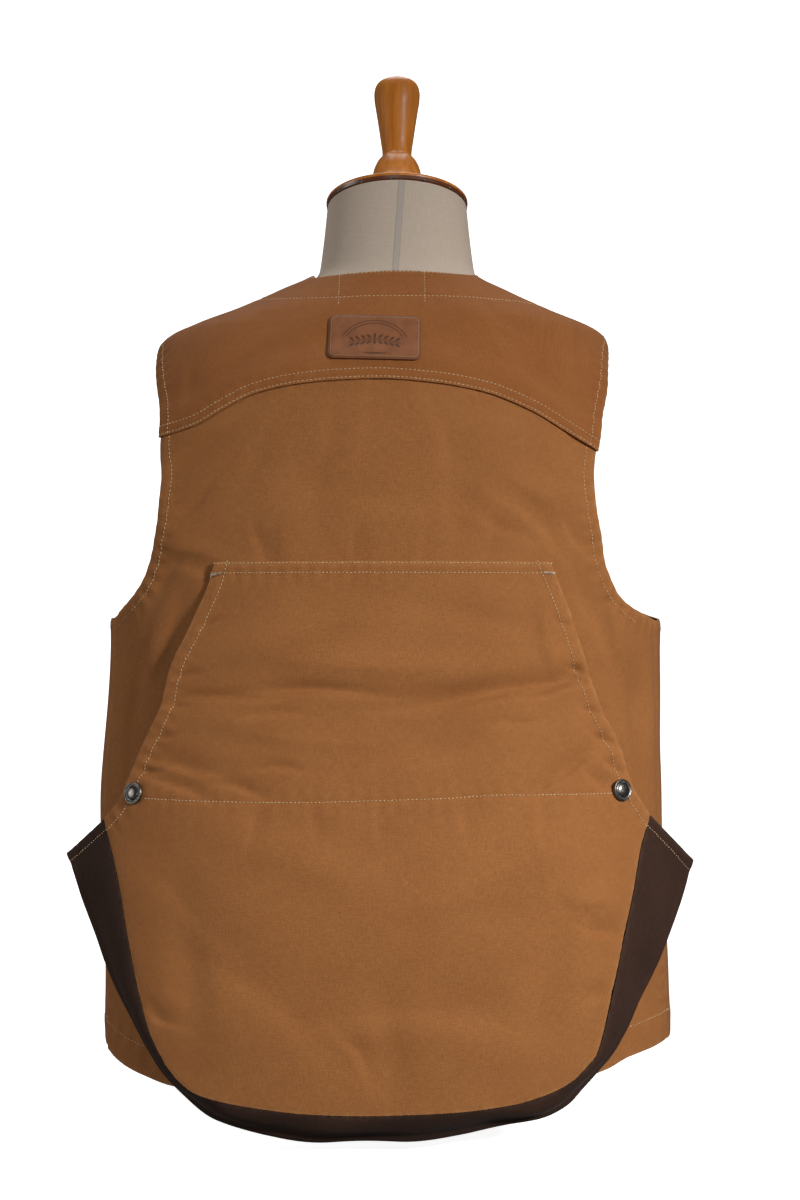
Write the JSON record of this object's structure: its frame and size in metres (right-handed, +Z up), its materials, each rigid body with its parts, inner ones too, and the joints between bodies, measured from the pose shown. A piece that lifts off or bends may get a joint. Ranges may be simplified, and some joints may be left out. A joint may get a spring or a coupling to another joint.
{
  "type": "hunting vest on a dress form",
  "caption": "Canvas hunting vest with a bellows game bag, press studs and a bare leather patch, on a limbless dress form with a wooden neck cap and knob.",
  "frame": {"origin": "centre of the foot's underside, on the ground", "axes": "+Z up along the form, +Y out of the back with the game bag, +X towards the vest's left side"},
  "size_m": [0.4785, 0.3172, 0.8234],
  "materials": {
    "tan_canvas": "fine twill",
    "brown_canvas": "fine twill",
    "patch_leather": "smooth, lightly grained",
    "gunmetal": "dark plated",
    "linen": "plain woven",
    "varnished_wood": "gloss varnish"
  },
  "bodies": {
    "root": {"back_yoke": "tan_canvas", "back_panel": "tan_canvas", "front_left": "tan_canvas", "front_right": "tan_canvas", "bag_panel": "tan_canvas", "bag_gusset": "brown_canvas", "leather_patch": "patch_leather", "bag_snap_left": "gunmetal", "bag_snap_right": "gunmetal", "front_snap_1": "gunmetal", "front_snap_2": "gunmetal", "front_snap_3": "gunmetal", "front_snap_4": "gunmetal", "front_snap_5": "gunmetal", "form_torso": "linen", "form_cap": "varnished_wood", "form_knob": "varnished_wood", "form_foot": "varnished_wood"}
  },
  "joints": []
}
